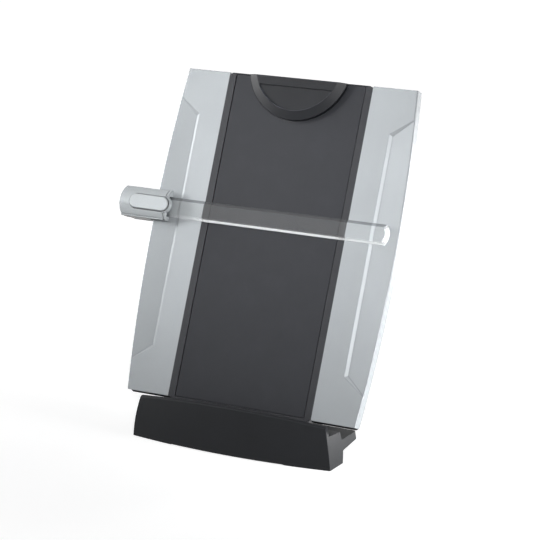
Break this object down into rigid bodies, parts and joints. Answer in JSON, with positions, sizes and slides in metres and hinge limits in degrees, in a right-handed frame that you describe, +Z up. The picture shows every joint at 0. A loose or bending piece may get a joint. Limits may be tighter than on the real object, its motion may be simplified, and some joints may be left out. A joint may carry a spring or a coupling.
{
  "type": "desk copy holder with line guide",
  "caption": "Desk copy holder: leaning panel on a moulded foot with a paper trough, sprung half-moon clip, clear line guide on a braked slider, and an easel leg behind.",
  "frame": {"origin": "middle of the whole object's bounding box in X and Y, at the height of the desk", "axes": "+X to the reader's right, +Y away from the reader, +Z up"},
  "size_m": [0.282, 0.1622, 0.3216],
  "materials": {
    "black_foot": "fine moulded grain, satin",
    "black_cover": "moulded grain, matt",
    "black_frame": "fine moulded grain, satin",
    "black_board": "fine grain, matt",
    "black_clip": "fine moulded grain, satin",
    "silver": "silver paint on plastic, satin",
    "silver_slider": "silver paint on plastic, satin",
    "clear": "clear acrylic, polished",
    "rubber": "matt",
    "bracket_steel": "black powder coat",
    "pin_steel": "turned, bright",
    "zinc_screw": "zinc plated",
    "spring_steel": "drawn wire",
    "washer_plastic": "natural acetal",
    "rail_plastic": "smooth, satin"
  },
  "bodies": {
    "base": {"base_body": "black_foot", "base_plate": "black_cover", "base_plate_screws": "zinc_screw", "rubber_feet": "rubber", "pivot_bracket_left": "bracket_steel", "pivot_bracket_right": "bracket_steel", "bracket_screws": "zinc_screw", "pivot_pin_left": "pin_steel", "pivot_pin_right": "pin_steel", "pivot_washers": "washer_plastic"},
    "panel": {"wing_left": "silver", "wing_right": "silver", "centre_frame": "black_frame", "memo_board": "black_board", "rear_cover": "black_cover", "rear_cover_screws": "zinc_screw", "guide_rail": "rail_plastic", "rail_screws": "zinc_screw", "leg_pin": "pin_steel", "leg_washers": "washer_plastic", "clip_pin": "pin_steel", "clip_spring": "spring_steel"},
    "leg": {"rear_leg": "black_cover", "leg_foot_pad": "rubber"},
    "clip": {"paper_clip": "black_clip", "clip_pad": "rubber"},
    "slider": {"guide_bar": "clear", "slider_housing": "silver_slider", "slider_back": "silver_slider", "slider_screws": "zinc_screw", "bar_clamp": "rail_plastic", "bar_screws": "zinc_screw", "button_spring": "spring_steel"},
    "button": {"release_button": "silver_slider"},
    "shoe": {"brake_shoe": "washer_plastic"}
  },
  "joints": [
    {"name": "panel_tilt", "type": "hinge", "parent": "base", "child": "panel", "pos_m": [0.01545, -0.04183, 0.03649], "axis": [1, 0, 0], "range_deg": [-12, 7]},
    {"name": "leg_swing", "type": "hinge", "parent": "panel", "child": "leg", "pos_m": [0.01545, 0.02422, 0.18663], "axis": [1, 0, 0], "range_deg": [-27, 25]},
    {"name": "clip_lift", "type": "hinge", "parent": "panel", "child": "clip", "pos_m": [0.01545, 0.05702, 0.31556], "axis": [-1, 0, 0], "range_deg": [0, 26], "stiffness_Nm_per_rad": 0.1, "springref_deg": -34.38, "deforming": ["clip_spring"]},
    {"name": "guide_slide", "type": "slide", "parent": "panel", "child": "slider", "axis": [0, 0.3859, 0.9225], "range_m": [-0.14, 0.08]},
    {"name": "button_press", "type": "slide", "parent": "slider", "child": "button", "axis": [0, 0.9225, -0.3859], "range_m": [0, 0.0015], "stiffness_N_per_m": 150, "springref_m": -0.008, "deforming": ["button_spring"]},
    {"name": "shoe_release", "type": "slide", "parent": "slider", "child": "shoe", "axis": [-1, 0, 0], "range_m": [0, 0.0006]}
  ],
  "couplings": [
    {"joint": "shoe_release", "follows": "button_press", "ratio": 0.4}
  ]
}
